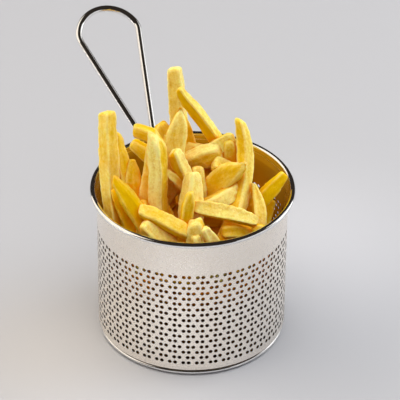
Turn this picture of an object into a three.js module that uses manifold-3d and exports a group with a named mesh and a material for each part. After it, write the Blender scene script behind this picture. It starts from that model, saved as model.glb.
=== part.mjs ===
// French fries heaped in a small round serving basket: a perforated steel wall with a rolled rim,
// a pressed base seamed into it, one bent wire as the handle, and the fries.
// Millimetres, +Z up. The origin is the centre of the underside, and the handle leans back over +Y.
// The perforation is finer than these solids, so the wall and the base are whole here.
import * as THREE from "three";
import { mergeVertices } from "three/addons/utils/BufferGeometryUtils.js";
import Module from "manifold-3d";

const wasm = await Module();
wasm.setup();

const { degToRad } = THREE.MathUtils;

const MERGE_DISTANCE = 1e-3; // vertices this close are one

// Basket wall
const WALL_RADIUS = 43.5; // outside face
const SHEET = 0.8; // thickness of the steel
const WALL_FOOT = 2.6; // height of the wall's lower edge, over the bead of the base
const RIM_RADIUS = 45.4; // middle of the rolled bead
const RIM_HEIGHT = 74.2;
const BEAD_RADIUS = 1.35;
const BEAD_STEPS = 8;
const ROUND_SIDES = 60;

// Base
const SEAM_RADIUS = 43.3; // widest part of the bead round the foot
const SEAM_HEIGHT = 2.2;
const FLANGE_RADIUS = 42.3; // the upright edge that the wall is seamed to
const FLANGE_HEIGHT = 5.6;
const FLOOR_THICK = 1.0;

// Handle: one wire, bent flat to a loop on two legs and then folded outward over the rim
const WIRE_RADIUS = 1.35;
const WIRE_SIDES = 8;
const WIRE_STEPS = 66;
const WIRE_CLEAR = 0.3; // between the wire and the wall it is welded to
const TAIL_LENGTH = 14; // of each leg, flat against the wall
const TAIL_SPACING = 3.6; // between the middles of the two tails
const FOLD_HEIGHT = 70.2; // where the legs leave the wall
const FOLD_RADIUS = 4;
const LEAN = degToRad(54.7); // of the loop, from upright
const LOOP_CENTRE = 57.4; // along the legs from the fold
const LOOP_RADIUS = 15.4;
const CORNER_RADIUS = 4.5;
const LOOP_HALF_ANGLE = degToRad(70.2); // of the loop's top arc
const WELD_SIZE = [1.5, 0.8, 1.8]; // half sizes of a bead of weld
const WELD_HEIGHTS = [58.2, 66];

// Fries
const FRONT = new THREE.Vector3(-0.355, -0.747, 0.562).normalize(); // a fry with no turn faces this way
const EDGE = 0.9; // chamfer along a fry's four edges
const STATIONS = [0, 0.3, 0.7]; // of a fry's sections, as shares of its length
const TAPER_STATION = 0.86; // one more, where a fry narrows
const TAPERS = 0.3; // least taper that needs it
const TIP_ROUNDING = 1.0; // from the last whole section to the tip
const FOOT_TAPER = 0.8; // of a fry's taper at its tip
const TIP_SHARE = 0.78; // of the full section, at the tip
const UNEVENNESS = 0.05; // of a fry's section, from place to place

// The body of the heap, under the pieces that show: radius and height of its shoulders.
const CORE = [
  [41, 5],
  [41, 36],
  [37, 44],
  [30, 52],
  [20, 60],
  [10, 65],
];
const CORE_FOOT = [39.5, FLOOR_THICK + 0.3];
const CORE_SIDES = 28;

// A fry is: tip, foot, how far its middle bows, [width, depth], its turn in degrees about its own
// length, the slope of the cut at its tip across the width and the depth, and the share of its
// section that it loses at the tip.
const LEFT_FRIES = [
  [[-33.5, 19, 113], [-36.5, -5.5, 33], [-2, -0.5, 0], [6.6, 6.6], 46, [0.1, 0.1], 0.1],
  [[-29, 18.5, 101], [-23, -7, 45], [-2, 0.5, -0.5], [6.4, 5.8], 25, [-0.5, -0.3], 0.35],
  [[-25, 11.5, 89.5], [-24, -10, 49], [-2, 1.5, -1], [8.2, 6], 10, [0, 0], 0.55],
  [[-40, -1.5, 90.5], [-23, -22.5, 41.5], [3, -0.5, 1.5], [8.2, 5.8], 8, [0.9, 0.2], 0.5],
  [[-34.5, 5.5, 81.5], [-26, -12.5, 49], [0, 0, 0], [10, 6], 5, [0, 0], 0.2],
  [[-28, -3.5, 77.5], [-28.5, -16, 52], [0, 0, 0], [7, 5.6], -10, [0, 0], 0.2],
];
const MIDDLE_FRIES = [
  [[-16, 7, 97.5], [-30, -10, 41], [-0.5, 1, 0], [6.4, 5.8], -12, [0, 0], 0],
  [[-19, -3, 108.5], [-21, -19, 26], [-0.5, 2.5, -0.5], [6.8, 7], -28, [-1.2, 0.1], 0.05],
  [[-15.5, -4, 90.5], [0.5, -7.5, 69.5], [0, 0, 0], [3.8, 3.8], 10, [0, 0], 0.2],
  [[-2, 9, 112.5], [-9.5, 6.5, 63.5], [-0.5, -1, 0.5], [9.2, 6], 0, [0, 0], 0.85],
  [[-11, -3.5, 99], [1.5, -8, 59], [0.5, 1, 0], [6.4, 6.2], -42, [0.3, 0], 0.15],
  [[-6, -12.5, 92], [-10.5, -20.5, 36.5], [-1.5, -1.5, 0.5], [8.8, 8], 38, [0, 0.3], 0.35],
  [[1, -2.5, 87], [-1, -12, 34], [-0.5, -2, 0.5], [7.4, 6], 15, [0, 0], 0.3],
  [[13, -2, 91.5], [-9, 13.5, 73.5], [0.5, 1.5, 0.5], [9.2, 7.4], 32, [0, 0], 0.2],
  [[9.5, 7, 89], [-6, 24.5, 88], [0, 0, 0.5], [5.8, 5.4], 5, [0, 0], 0],
  [[8.5, -3.5, 88], [29, -8, 57], [3, -2, 3], [6.2, 5.4], 20, [0, 0], 0],
  [[16, -19, 94.5], [-3.5, 1.5, 61], [0.5, 1, 1], [10.2, 5.6], -8, [1.1, -0.3], 0.75],
  [[-12, -22.5, 89], [-17.5, -22, 52.5], [0, -0.5, 0], [5.6, 5], 12, [0.6, 0], 0.45],
];
const FRONT_FRIES = [
  [[-32, -12.5, 79], [-14, -29, 71], [0, 0, 0], [6.6, 6.4], 22, [0.2, 0.3], 0.25],
  [[-33, -18.5, 75.5], [0, -33, 45], [-1, 1, -1.5], [8, 6.4], 20, [0, 0], 0.35],
  [[-13, -29.5, 78], [-12.5, -26, 38], [1, -1, 0], [8.6, 7], -15, [0.3, -0.2], 0.25],
  [[-10.5, -34, 76.5], [1, -27, 31], [3.5, -2, 1.5], [6, 5.6], 15, [0, 0], 0.4],
  [[-14, -32.5, 73], [-8, -20, 47], [-0.5, -4.5, 0], [3.6, 4], 20, [0, 0], 0],
  [[-10.5, -21, 80], [14.5, -37, 74.5], [0, 0, 1], [6.2, 5.4], 12, [0.2, 0.1], 0.3],
  [[-3, -15, 73], [21, -9.5, 78], [0.5, -4.5, 2.5], [6.6, 5.6], -20, [0, 0], 0],
  [[12.5, -37.5, 72.5], [19, -20, 56], [4.5, -3.5, 1], [3.6, 3.8], -20, [0, 0], 0],
  [[-0.5, -31.5, 70], [16, -22, 46], [6, -5, 6.5], [5.6, 5.4], -10, [0, 0], 0],
];
const RIGHT_FRIES = [
  [[22.5, -2, 106], [-9, -36, 59], [9, 1, -5], [6.2, 6.4], -34, [-0.8, 0.4], 0.35],
  [[21.5, -18.5, 82], [5, -30, 38], [5, -6, 1.5], [5.8, 5.2], 15, [-0.6, -0.2], 0.6],
  [[39, -15.5, 80.5], [-6, -16, 40.5], [-0.5, -1.5, 1], [6.4, 5.8], 20, [0, 0], 0.35],
  [[33.5, -11, 65], [11, -27, 26], [-1.5, -3.5, 3], [6.2, 5.8], 0, [0, 0], 0],
  [[16.5, -2.5, 96.5], [26, 2.5, 56], [0, 0, 1], [8.2, 6.4], 0, [0, 0], 0.45],
  [[20, -1.5, 96.5], [10, 4.5, 87.5], [0, 0, 1], [7.2, 5.6], 8, [0, 0], 0.3],
  [[24, -18.5, 66], [8.5, -17, 51], [0, 0, 0], [6, 5.6], 10, [0, 0], 0.2],
];
const BACK_FRIES = [
  [[4, 29, 121], [7, 21.5, 69], [-1.5, -1.5, 0.5], [7.2, 6], -16, [0.1, 0], 0.12],
  [[-0.5, 14.5, 119], [30.5, 5, 66], [0, -2, 0], [4.9, 5.6], 50, [0, 0.2], 0.3],
  [[3, 18.5, 103], [7, 9.5, 71], [0, 0, 0], [5, 5], 10, [-0.7, -0.3], 0.5],
  [[-5, 25, 95.5], [1, 9, 54], [3.5, 1.5, 0.5], [8.4, 6.4], 10, [0, 0], 0.3],
  [[-13.5, 36, 88], [9, 3, 63], [5.5, 2.5, 4], [5.8, 6], -22, [0.1, 0], 0],
  [[-18.5, 26.5, 88], [-5.5, 10.5, 69.5], [2, 0.5, 0.5], [6.2, 6], -22, [0, 0], 0.2],
  [[11, 34, 81], [2, 8, 42], [1, 1, 0], [6.2, 5.8], 30, [0.3, 0], 0],
  [[31, 19, 76], [6, 2, 46], [0, -1, 1.5], [6.4, 5.6], 15, [0.2, 0], 0],
  [[1, 37.5, 79], [-12, 10, 44], [1, 1, 0], [5.6, 6], 10, [0, 0.3], 0],
  [[7, 4, 78], [21, 2, 70], [0, 0, 0], [6.6, 6], 0, [0, 0], 0.2],
];

// The fries that lie under the others, seen between them: a sunflower spread from the middle.
const UNDER_COUNT = 10;
const UNDER_TURN = degToRad(137.5); // from one fry to the next, round the heap
const UNDER_REACH = 25; // of the outermost fry's middle
const UNDER_TOP = 65; // height of the innermost fry's middle
const UNDER_FALL = 0.5; // in height for each millimetre outwards
const UNDER_HALF_LENGTH = 21;
const UNDER_LIMIT = 37; // radius that no end passes

// A closed geometry as a solid that can be joined to others.
function solidOf(geometry) {
  const bare = geometry.index ? geometry.toNonIndexed() : geometry.clone();
  bare.deleteAttribute("normal");
  bare.deleteAttribute("uv");
  const merged = mergeVertices(bare, MERGE_DISTANCE);
  return new wasm.Manifold(
    new wasm.Mesh({
      numProp: 3,
      vertProperties: merged.attributes.position.array,
      triVerts: new Uint32Array(merged.index.array),
    }),
  );
}

function geometryOf(solid) {
  const mesh = solid.getMesh();
  const geometry = new THREE.BufferGeometry();
  geometry.setAttribute("position", new THREE.BufferAttribute(mesh.vertProperties, 3));
  geometry.setIndex(new THREE.BufferAttribute(mesh.triVerts, 1));
  geometry.computeVertexNormals();
  return geometry;
}

function remerged(solid) {
  return solidOf(geometryOf(solid));
}

// The shell with the largest volume. The others are loose scraps, or line hollows that are shut in.
function outerShell(solid) {
  return solid.decompose().reduce((kept, shell) => (shell.volume() > kept.volume() ? shell : kept));
}

// A solid of revolution about +Z from [radius, height] points, anticlockwise round the section.
function turned(points, sides) {
  const profile = points.map(([radius, height]) => new THREE.Vector2(radius, height));
  return new THREE.LatheGeometry(profile, sides).rotateX(Math.PI / 2);
}

function wallGeometry() {
  const inside = WALL_RADIUS - SHEET;
  const first = degToRad(-130); // where the roll leaves the outside face
  const last = degToRad(130); // where it comes down on the inside
  const roll = Array.from({ length: BEAD_STEPS + 1 }, (_, i) => {
    const angle = first + ((last - first) * i) / BEAD_STEPS;
    return [RIM_RADIUS + BEAD_RADIUS * Math.cos(angle), RIM_HEIGHT + BEAD_RADIUS * Math.sin(angle)];
  });
  const neck = RIM_HEIGHT - BEAD_RADIUS;
  return turned(
    [
      [inside, WALL_FOOT],
      [WALL_RADIUS, WALL_FOOT],
      [WALL_RADIUS, neck - 0.6],
      ...roll,
      [inside + 0.4, RIM_HEIGHT + 0.5],
      [inside, neck],
      [inside, WALL_FOOT],
    ],
    ROUND_SIDES,
  );
}

function baseGeometry() {
  const inside = FLANGE_RADIUS - SHEET;
  return turned(
    [
      [0, 0],
      [FLANGE_RADIUS, 0],
      [SEAM_RADIUS - 0.2, 0.4],
      [SEAM_RADIUS, SEAM_HEIGHT / 2],
      [SEAM_RADIUS - 0.2, SEAM_HEIGHT - 0.3],
      [FLANGE_RADIUS, SEAM_HEIGHT],
      [FLANGE_RADIUS, FLANGE_HEIGHT],
      [inside, FLANGE_HEIGHT],
      [inside, FLOOR_THICK + 0.8],
      [inside - 0.8, FLOOR_THICK],
      [0, FLOOR_THICK],
    ],
    ROUND_SIDES,
  );
}

// Half of the wire's flat outline: x across, y along the leg from the fold. Two arcs meet smoothly
// at the corner of the loop, and the leg touches the corner's arc.
function flatWire() {
  const start = new THREE.Vector2(TAIL_SPACING / 2, 0);
  const reach = LOOP_RADIUS - CORNER_RADIUS;
  const corner = new THREE.Vector2(
    reach * Math.sin(LOOP_HALF_ANGLE),
    LOOP_CENTRE + reach * Math.cos(LOOP_HALF_ANGLE),
  );
  const away = start.clone().sub(corner);
  const touch = away.angle() + Math.acos(CORNER_RADIUS / away.length());
  const top = Math.PI / 2 - LOOP_HALF_ANGLE;
  const path = new THREE.Path();
  path.moveTo(start.x, -TAIL_LENGTH);
  path.lineTo(start.x, 0);
  path.absarc(corner.x, corner.y, CORNER_RADIUS, touch - 2 * Math.PI, top, false);
  path.absarc(0, LOOP_CENTRE, LOOP_RADIUS, top, Math.PI - top, false);
  path.absarc(-corner.x, corner.y, CORNER_RADIUS, Math.PI - top, 3 * Math.PI - touch, false);
  path.lineTo(-start.x, 0);
  path.lineTo(-start.x, -TAIL_LENGTH);
  return path.getSpacedPoints(WIRE_STEPS);
}

// Folds a point of the flat wire: upright below the fold, round the fold, and leaning beyond it.
function folded({ x, y: along }) {
  const out = WALL_RADIUS + WIRE_CLEAR + WIRE_RADIUS;
  const bend = FOLD_RADIUS * LEAN;
  const start = -bend / 2;
  if (along <= start) return new THREE.Vector3(x, out, FOLD_HEIGHT + along);
  const angle = Math.min((along - start) / FOLD_RADIUS, LEAN);
  const beyond = Math.max(along - start - bend, 0);
  return new THREE.Vector3(
    x,
    out + FOLD_RADIUS * (1 - Math.cos(angle)) + beyond * Math.sin(LEAN),
    FOLD_HEIGHT + start + FOLD_RADIUS * Math.sin(angle) + beyond * Math.cos(LEAN),
  );
}

function handleGeometry() {
  const route = new THREE.CatmullRomCurve3(flatWire().map(folded));
  const section = Array.from({ length: WIRE_SIDES }, (_, i) => {
    const angle = (2 * Math.PI * i) / WIRE_SIDES;
    return new THREE.Vector2(WIRE_RADIUS * Math.cos(angle), WIRE_RADIUS * Math.sin(angle));
  });
  const wire = new THREE.ExtrudeGeometry(new THREE.Shape(section), {
    steps: WIRE_STEPS,
    extrudePath: route,
    bevelEnabled: false,
  });
  const [across, through, up] = WELD_SIZE;
  const out = WALL_RADIUS + WIRE_CLEAR + through;
  return geometryOf(
    WELD_HEIGHTS.reduce((handle, height) => {
      const bead = new THREE.SphereGeometry(1, 10, 6).scale(across, through, up).translate(0, out, height);
      return handle.add(solidOf(bead));
    }, solidOf(wire)),
  );
}

// Repeatable numbers from -1 to 1 for what is uneven in the heap.
function uneven(fryIndex, channel) {
  const wave = Math.sin(fryIndex * 12.9898 + channel * 78.233) * 43758.5453;
  return 2 * (wave - Math.floor(wave)) - 1;
}

// A rectangle of half sizes a and b, with its corners cut off where there is an edge to cut.
function outline(a, b, edge) {
  if (edge === 0) return [[a, b], [-a, b], [-a, -b], [a, -b]];
  const [c, d] = [a - edge, b - edge];
  return [[a, d], [c, b], [-c, b], [-a, d], [-a, -d], [-c, -b], [c, -b], [a, -d]];
}

// What is left of a fry's section at a share of its length: it narrows from its shoulders outwards.
function narrowed(share, taper, length) {
  const [foot, tip] = [STATIONS[1], STATIONS.at(-1)];
  const run = TIP_ROUNDING / length;
  const toFoot = Math.min(Math.max((foot - share) / (foot - run), 0), 1);
  const toTip = Math.min(Math.max((share - tip) / (1 - tip - run), 0), 1);
  return (1 - taper * toTip ** 2) * (1 - FOOT_TAPER * taper * toFoot ** 2);
}

// One fry: sections along a bowed line, the tip's section cut on the slant.
function fryGeometry([tip, foot, bow, [wide, deep], turn, cut, taper], index, edge = EDGE) {
  const from = new THREE.Vector3(...foot);
  const span = new THREE.Vector3(...tip).sub(from);
  const sag = new THREE.Vector3(...bow);
  const length = span.length();
  const narrowing = taper > TAPERS ? [TAPER_STATION] : [];
  const stations = [...STATIONS, ...narrowing, 1 - TIP_ROUNDING / length, 1];
  const positions = stations.flatMap((share, ring) => {
    const middle = from
      .clone()
      .addScaledVector(span, share)
      .addScaledVector(sag, 4 * share * (1 - share));
    const along = span
      .clone()
      .addScaledVector(sag, 4 - 8 * share)
      .normalize();
    const side = new THREE.Vector3().crossVectors(along, FRONT).normalize();
    const face = new THREE.Vector3().crossVectors(side, along);
    const across = side.clone().applyAxisAngle(along, degToRad(turn));
    const through = face.clone().applyAxisAngle(along, degToRad(turn));
    const atTip = ring >= STATIONS.length + narrowing.length;
    const whole = narrowed(share, taper, length);
    const size = (share === 1 ? TIP_SHARE : 1) * whole * (1 + UNEVENNESS * uneven(index, ring));
    const [a, b] = [(wide / 2) * size, (deep / 2) * size];
    return outline(a, b, edge * whole).flatMap(([x, y]) => {
      const slant = atTip ? x * cut[0] + y * cut[1] : 0;
      return middle
        .clone()
        .addScaledVector(across, x)
        .addScaledVector(through, y)
        .addScaledVector(along, slant)
        .toArray();
    });
  });
  const sides = outline(1, 1, edge).length;
  const faces = [];
  for (let ring = 0; ring + 1 < stations.length; ring += 1) {
    for (let i = 0; i < sides; i += 1) {
      const [p, q] = [ring * sides + i, ring * sides + ((i + 1) % sides)];
      faces.push(p, q + sides, q, p, p + sides, q + sides);
    }
  }
  const end = (stations.length - 1) * sides;
  for (let i = 1; i + 1 < sides; i += 1) {
    faces.push(0, i, i + 1, end, end + i + 1, end + i);
  }
  const geometry = new THREE.BufferGeometry();
  geometry.setAttribute("position", new THREE.Float32BufferAttribute(positions, 3));
  geometry.setIndex(faces);
  return geometry;
}

function underFry(index) {
  const share = Math.sqrt((index + 0.5) / UNDER_COUNT);
  const radius = UNDER_REACH * share;
  const place = index * UNDER_TURN;
  const [x, y] = [radius * Math.cos(place), radius * Math.sin(place)];
  const middleHeight = UNDER_TOP - UNDER_FALL * radius;
  const heading = place + Math.PI / 2 + 0.9 * uneven(index, 1);
  const rise = degToRad(28 + 12 * uneven(index, 2));
  const half = new THREE.Vector3(
    Math.cos(heading) * Math.cos(rise),
    Math.sin(heading) * Math.cos(rise),
    Math.sin(rise),
  ).multiplyScalar(UNDER_HALF_LENGTH);
  const ends = [1, -1].map((way) => {
    const end = new THREE.Vector3(x, y, middleHeight).addScaledVector(half, way);
    const reach = Math.hypot(end.x, end.y);
    if (reach > UNDER_LIMIT) {
      end.x *= UNDER_LIMIT / reach;
      end.y *= UNDER_LIMIT / reach;
    }
    return end.toArray();
  });
  const section = [6 + 0.6 * uneven(index, 3), 5.6];
  return [ends[0], ends[1], [0, 0, 1], section, 90 * uneven(index, 4), [0, 0], 0];
}

function friesGeometry() {
  const core = turned([[0, CORE_FOOT[1]], CORE_FOOT, ...CORE, [0, CORE.at(-1)[1] + 1]], CORE_SIDES);
  const showing = [...LEFT_FRIES, ...MIDDLE_FRIES, ...FRONT_FRIES, ...RIGHT_FRIES, ...BACK_FRIES];
  const under = Array.from({ length: UNDER_COUNT }, (_, i) => underFry(i));
  const pieces = [
    ...showing.map((fry, i) => solidOf(fryGeometry(fry, i))),
    ...under.map((fry, i) => solidOf(fryGeometry(fry, i, 0))),
  ];
  let heap = outerShell(wasm.Manifold.union([solidOf(core), ...pieces]));
  // Merging close vertices pinches off narrow hollows, so it is done until none is left.
  for (let merged = remerged(heap); merged.decompose().length > 1; merged = remerged(heap)) {
    heap = outerShell(merged);
  }
  return geometryOf(heap);
}

const satinSteel = new THREE.MeshStandardMaterial({ color: 0xc9c5c0, metalness: 1, roughness: 0.38 });
const brightSteel = new THREE.MeshStandardMaterial({ color: 0xd2d2d0, metalness: 1, roughness: 0.12 });
const friedPotato = new THREE.MeshStandardMaterial({ color: 0xe9c95c, metalness: 0, roughness: 0.5 });

function piece(name, geometry, material) {
  const mesh = new THREE.Mesh(geometry, material);
  mesh.name = name;
  return mesh;
}

const portion = new THREE.Group();
const basket = new THREE.Group();
basket.add(
  piece("basket_wall", wallGeometry(), satinSteel),
  piece("basket_base", baseGeometry(), brightSteel),
  piece("handle_wire", handleGeometry(), brightSteel),
);
portion.add(basket, piece("fries", friesGeometry(), friedPotato));

export default portion;
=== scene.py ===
"""French fries heaped in a small round serving basket of perforated steel.

Sizes are in millimetres, and every mesh is scaled to metres when it is made. The camera and the
lamps are placed in metres. The basket stands on z = 0 with its middle on the Z axis, and its handle
leans out over +Y.
"""
import math
import random

import bpy
from mathutils import Matrix, Vector, noise
from mathutils.bvhtree import BVHTree
from mathutils.geometry import delaunay_2d_cdt


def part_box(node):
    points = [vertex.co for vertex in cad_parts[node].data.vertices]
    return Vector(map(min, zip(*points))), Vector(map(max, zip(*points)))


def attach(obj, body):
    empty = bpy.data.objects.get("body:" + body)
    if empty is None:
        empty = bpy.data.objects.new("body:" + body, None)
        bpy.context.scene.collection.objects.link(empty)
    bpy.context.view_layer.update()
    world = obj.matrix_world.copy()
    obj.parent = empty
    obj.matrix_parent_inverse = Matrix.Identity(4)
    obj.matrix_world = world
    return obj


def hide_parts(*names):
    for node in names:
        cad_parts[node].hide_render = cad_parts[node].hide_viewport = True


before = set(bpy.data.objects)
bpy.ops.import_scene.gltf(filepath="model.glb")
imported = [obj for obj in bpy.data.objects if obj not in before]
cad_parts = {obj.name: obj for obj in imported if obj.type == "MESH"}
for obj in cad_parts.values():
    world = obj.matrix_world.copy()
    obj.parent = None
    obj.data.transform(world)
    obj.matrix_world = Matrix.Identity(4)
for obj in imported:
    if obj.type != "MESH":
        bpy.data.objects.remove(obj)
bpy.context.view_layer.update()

MM = 0.001
TAU = 2 * math.pi

# Basket
wall_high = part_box("basket_wall")[1] / MM
base_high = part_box("basket_base")[1] / MM
BEAD = 1.35  # radius of the rolled bead of the rim
RIM_RADIUS = wall_high.x - BEAD  # middle of that bead
RIM_HEIGHT = wall_high.z - BEAD
RIM_SIDES = 220
ROLL = 1.9  # the bead's middle is this far out from the wall and over its neck
WALL_RADIUS = RIM_RADIUS - ROLL  # outside face of the wall
SHEET = 0.5  # thickness of the wall
NECK = RIM_HEIGHT - ROLL  # where the wall starts to turn into the rim
NECK_CURVE = ((0, 0), (0.04, 0.35), (0.3, 0.75))  # out and up from there
BEAD_SWEEP = (-142, 172)  # degrees, from under the bead by the neck out and over to its inside
BEAD_STEPS = 28
FLARE = 1.05  # how far the inside of the wall leans out to the rim
FLARE_FOOT = RIM_HEIGHT - 4.4  # the heights between which it does
FLARE_TOP = RIM_HEIGHT + 0.2
FLARE_POWER = 1.25  # 1 would be a straight cone
BASE_SIDES = 176
SEAM_RADIUS = base_high.x  # widest part of the bead at the foot
SEAM_HEIGHT = 2.7  # top of that bead
SEAM_UNDER = 0.9  # and its underside
SEAM_ROUND = (SEAM_HEIGHT - SEAM_UNDER) / 2
SEAM_INNER = SEAM_RADIUS - 1.6  # where its underside starts
SEAM_GROOVE = 0.9  # height of the dark groove between bead and wall
WALL_FOOT = SEAM_HEIGHT + SEAM_GROOVE
FOOT_RADIUS = SEAM_RADIUS - 1.9  # edge of the flat underside
FLANGE_RADIUS = SEAM_RADIUS - 1.0
FLANGE_HEIGHT = base_high.z
FLOOR_THICK = 1.0
FLOOR_CORNER = 0.8  # radius between the floor and the flange

# Perforation: rows of holes in pairs, every other row shifted round
HOLE = 0.84  # radius
HOLE_EDGE = 0.10  # rounded lip of a hole
HOLE_SIDES = 12
HOLE_RINGS = (  # radius, depth, and how far it belongs to the outside
    (HOLE + HOLE_EDGE, 0, 1.0),
    (HOLE, HOLE_EDGE, 0.5),
    (HOLE, SHEET, 0.0),
)
HOLE_ROWS = 17
TOP_ROW = 55.46  # height of the top row
ROW_PITCH = 2.987
PAIRS = 44  # round the wall
PAIR_ANGLE = TAU / PAIRS
IN_PAIR = 0.05678  # angle between the two holes of a pair
ROW_SHIFT = 0.04619  # angle from one row to the next
FIRST_HOLE = math.radians(-115.4) + 0.06118  # angle of the first hole of the top row
BASE_REACH = 35.0  # no hole of the base is further out
BASE_MARGIN = 37.5  # the flat sheet with the holes ends and the turned margin begins here

# Handle: one wire, bent flat to a loop on two legs and then folded outward over the rim
WIRE = 1.6  # radius
WIRE_SIDES = 20
WIRE_TIP = 0.72  # its ends are this share of its width
WIRE_CLEAR = 0.1  # gap between the tails and the wall
TAIL_LENGTH = 14.0
TAIL_SPACING = 3.6
SOFT_BEND = 4.0  # the bend from tail to leg takes this much of both
FOLD_HEIGHT = 70.2
FOLD_RADIUS = 4.0
LEAN = math.radians(54.7)
LOOP_CENTRE = 57.4
LOOP_RADIUS = 15.4
CORNER_RADIUS = 8.0
LOOP_HALF_ANGLE = math.radians(70.2)
WELD_SIZE = (1.5, 0.8, 1.8)
WELD_HEIGHTS = (58.2, 66.0)
WELD_RINGS = 14
WELD_SIDES = 22
WELD_POLE = 0.02  # the first and last rings lie this share of a step off the poles
WELD_LUMP = 0.12
WELD_GRAIN = 1.7

# Fries: how their skin is laid out
FRONT = Vector((-0.355, -0.747, 0.562)).normalized()  # a fry with no turn faces this way
RING_STEP = 1.15  # between the sections of a fry
LEAST_RINGS = 8
TIP_ROUNDING = ((0.0, 0.55), (0.35, 0.82), (0.9, 0.94), (1.7, 1.0))  # from an end, share of the section
EDGE_ROUND = 0.55  # radius of a fry's long edges
EDGE_MOST = 0.3  # share of a fry's thickness that they may take
EDGE_DEGREES = (12, 45, 78)  # points round each edge
SIDE_SHARES = ((0.12, 0.15), (0.5, 0.0), (0.88, 0.15))  # points along a side, and how near an edge
SECTION = 4 * (len(EDGE_DEGREES) + len(SIDE_SHARES))
END_SHARE = 0.3  # share of its length that tapers at each end
FOOT_TAPER = 0.8  # a foot tapers by this share of what its tip does
TOASTED_END = 5.0  # the crust is toasted up to this far from an end

# Fries: how uneven they are
SEED_STEP = 1000  # from one group's seeds to the next group's
NOISE_REACH = 50  # each fry reads the noise at a place of its own
PALE_SPREAD = 0.08
TWIST = 13  # most degrees, from end to end
SINK = (-0.35, 0.32)  # a side may swell or be hollow by this much
ROUND_SPREAD = (0.7, 2.0)
WOBBLE = 0.7  # how far the middle line strays
WOBBLE_GRAIN = 0.055  # this and the next grains are in cells to the millimetre
WOBBLE_FROM = 6.0  # it does so fully this far from an end
SWELL = 0.11  # how much the width and the depth come and go
WIDTH_GRAIN = 0.09
DEPTH_GRAIN = 0.08
LUMPS = ((0.33, 0.32), (0.95, 0.13))  # grain and height of the lumps on the skin
EDGE_LUMPS = (0.7, 0.22)  # and of those along its edges
STREAK_ACROSS = 0.5  # grain of the crust's streaks across a fry
STREAK_ALONG = 0.12  # and along it
STREAK_SHIFT = 7.3  # from one fry to the next

# Fries: how much of the sky a point misses
SKY_WAYS = 14  # directions in which it looks
SKY_LOWEST = 0.12  # rise of the lowest of them
SKY_SPREAD = 0.86
SPIRAL = 2.4  # turn from one to the next
SKY_REACH = 30.0  # a fry further off than this hides none of it
SKY_CLEAR = 0.3  # it looks from this far off the skin
SKY_SIDEWAYS = 0.25  # a way a little behind the skin still counts
SKY_UNSEEN = 0.6  # where no way counts

# The inside of the heap, as (radius, height) from the middle of its underside to its crown
CORE = ((0.0, 1.4), (38.8, 1.4), (40.4, 5.0), (40.4, 34.0), (36.0, 42.0), (28.0, 50.0),
        (18.0, 57.0), (9.0, 61.5), (0.0, 62.5))
CORE_SHOULDER = 3  # the point where it turns in from the wall
CORE_STEP = 1.6
CORE_SIDES = 120
CORE_GRAIN = 0.22  # lumps, in cells to the millimetre
CORE_LUMP = 1.1
CORE_INSET = 0.9
CORE_AXIS = 8.0  # nearer to the axis than this a lump moves a point less
CORE_FOOT = 6.0  # below this its height stays as it is
CORE_CROWN_SINK = 0.5

# The fries that fill the basket under the placed ones: dropped on the heap one by one
FILL_TRIES = 1600
FILL_SEED = 7
FILL_GROUP = 9  # their group's number, as the placed ones have 0 to 4
FILL_REACH = 40.0  # radius that none of them passes
FILL_MARGIN = 2.0  # and their ends stay this far inside it
FILL_RISE = 9.0  # most that one may stand above the bare core
FILL_CELL = 2.0  # the heap's height is kept in cells of this size
FILL_HALF = (8, 19)  # half a fry's length
FILL_WIDTH = (5.2, 6.6)
FILL_DEPTH = (5.2, 6.2)
FILL_TURN = 45
FILL_BOW = (1, 1, 0.6)
FILL_PALE = (0.3, 0.2)
FILL_TAPER = 0.2
FILL_STEEPEST = 50  # degrees
FILL_SLOPE_STEP = 5
FILL_LIFT = 0.35  # its middle lies over the heap by this share of its depth
FILL_COVER = 0.4  # and its top over its middle by this one
FILL_CLEAR = 4.0  # least gap between its middle line and a placed fry's
FILL_TRACKS = (-2.4, 0, 2.4)  # it covers the heap along these lines beside its middle
FILL_STEPS = 6  # points of its half under which the heap's height is read
COVER_STEPS = 16  # points of its half at which it covers the heap

# Studio: the camera and what the soft boxes face, in metres
EYE = Vector((-0.3981, -0.8384, 0.6986))
HEADING = 25.61  # degrees from +Y toward +X that the camera looks along
PITCH = 34.21  # degrees that it looks down
EYE_ROLL = 0.01105  # radians
LENS = 222.06
SENSOR = 36.0
NEAREST, FARTHEST = 0.05, 20.0
AIM = Vector((0, 0, 0.06))
FLOOR_REACH = 3.0  # half the floor's side

# A fry is: tip, foot, how far its middle bows, (width, depth), its turn in degrees about its own
# length, the slope of the cut at its tip across the width and the depth, how far it tapers, and
# how pale its front and its sides are, which is partly their own tone and partly painted light
# where a face is lit.
LEFT_FRIES = (
    ((-33.5, 19, 113), (-36.5, -5.5, 33), (-2, -0.5, 0), (6.6, 6.6), 46, (0.1, 0.1), 0.1, (0.35, 0.5)),
    ((-29, 18.5, 101), (-23, -7, 45), (-2, 0.5, -0.5), (6.4, 5.8), 25, (-0.5, -0.3), 0.35, (0.3, 0.15)),
    ((-25, 11.5, 89.5), (-24, -10, 49), (-2, 1.5, -1), (8.2, 6.0), 10, (0, 0), 0.55, (0.2, 0.1)),
    ((-40, -1.5, 90.5), (-23, -22.5, 41.5), (3, -0.5, 1.5), (8.2, 5.8), 8, (0.9, 0.2), 0.5, (0.1, 0.0)),
    ((-34.5, 5.5, 81.5), (-26, -12.5, 49), (0, 0, 0), (10.0, 6.0), 5, (0, 0), 0.2, (0.0, 0.0)),
    ((-28, -3.5, 77.5), (-28.5, -16, 52), (0, 0, 0), (7, 5.6), -10, (0, 0), 0.2, (0.2, 0.1)),
)
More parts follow.
